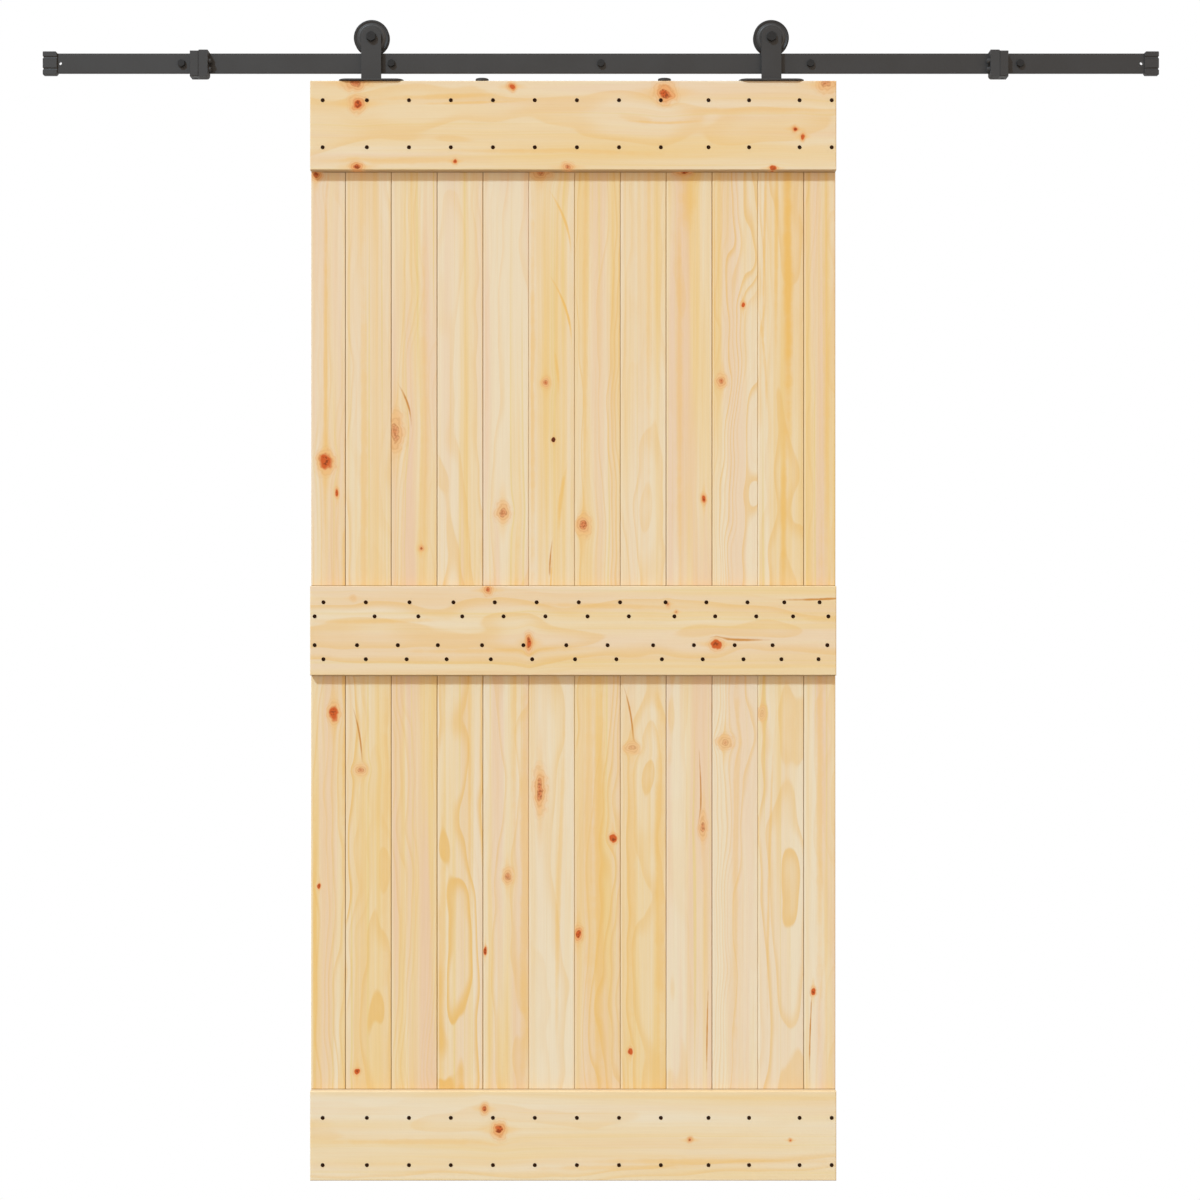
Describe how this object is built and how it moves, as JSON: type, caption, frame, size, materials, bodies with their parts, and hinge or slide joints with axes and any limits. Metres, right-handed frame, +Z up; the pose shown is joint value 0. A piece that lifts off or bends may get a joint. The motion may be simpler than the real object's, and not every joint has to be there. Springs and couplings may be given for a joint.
{
  "type": "sliding barn door",
  "caption": "Ledged pine door that slides on grooved top wheels along a flat steel wall rail with stops and end caps.",
  "frame": {"origin": "axis of the rail's middle wall bolt at the wall face", "axes": "+X along the rail to the right seen from the room, +Y into the wall, +Z up"},
  "size_m": [2.129, 0.087, 2.2097],
  "materials": {
    "pine_boards": "planed pine boards, clear oiled, satin",
    "pine_ledges": "planed pine cross boards, clear oiled, satin",
    "painted_steel": "matte dark grey powder coat",
    "dark_fasteners": "blackened steel",
    "bright_steel": "ground steel",
    "cap_plastic": "moulded, fine matte",
    "buffer_rubber": "matte",
    "nail_iron": "dark brown oxide"
  },
  "bodies": {
    "track": {"rail": "painted_steel", "wall_spacers": "painted_steel", "wall_bolts": "dark_fasteners", "end_cap_left": "cap_plastic", "end_cap_right": "cap_plastic", "stop_left": "painted_steel", "stop_right": "painted_steel", "buffer_left": "buffer_rubber", "buffer_right": "buffer_rubber", "stop_screws": "dark_fasteners"},
    "leaf": {"plank_01": "pine_boards", "plank_02": "pine_boards", "plank_03": "pine_boards", "plank_04": "pine_boards", "plank_05": "pine_boards", "plank_06": "pine_boards", "plank_07": "pine_boards", "plank_08": "pine_boards", "plank_09": "pine_boards", "plank_10": "pine_boards", "plank_11": "pine_boards", "plank_12": "pine_boards", "ledge_top": "pine_ledges", "ledge_middle": "pine_ledges", "ledge_bottom": "pine_ledges", "nails_top": "nail_iron", "nails_middle": "nail_iron", "nails_bottom": "nail_iron", "hanger_left": "painted_steel", "hanger_right": "painted_steel", "hanger_screws": "dark_fasteners", "disc_left": "painted_steel", "disc_right": "painted_steel", "disc_screws": "dark_fasteners", "axle_bolt_left": "dark_fasteners", "axle_bolt_right": "dark_fasteners", "axle_nut_left": "dark_fasteners", "axle_nut_right": "dark_fasteners", "front_bush_left": "bright_steel", "front_bush_right": "bright_steel", "rear_bush_left": "bright_steel", "rear_bush_right": "bright_steel"},
    "roller_left": {"wheel_left": "painted_steel", "bearing_left": "bright_steel"},
    "roller_right": {"wheel_right": "painted_steel", "bearing_right": "bright_steel"}
  },
  "joints": [
    {"name": "door_slide", "type": "slide", "parent": "track", "child": "leaf", "axis": [1, 0, 0], "range_m": [-0.285, 0.3909]},
    {"name": "wheel_left_spin", "type": "hinge", "parent": "leaf", "child": "roller_left", "pos_m": [-0.4372, -0.029, 0.0482], "axis": [0, 1, 0], "range_deg": [-570, 780]},
    {"name": "wheel_right_spin", "type": "hinge", "parent": "leaf", "child": "roller_right", "pos_m": [0.3248, -0.029, 0.0482], "axis": [0, 1, 0], "range_deg": [-570, 780]}
  ],
  "couplings": [
    {"joint": "wheel_left_spin", "follows": "door_slide", "rad_per_m": 34.483},
    {"joint": "wheel_right_spin", "follows": "door_slide", "rad_per_m": 34.483}
  ]
}
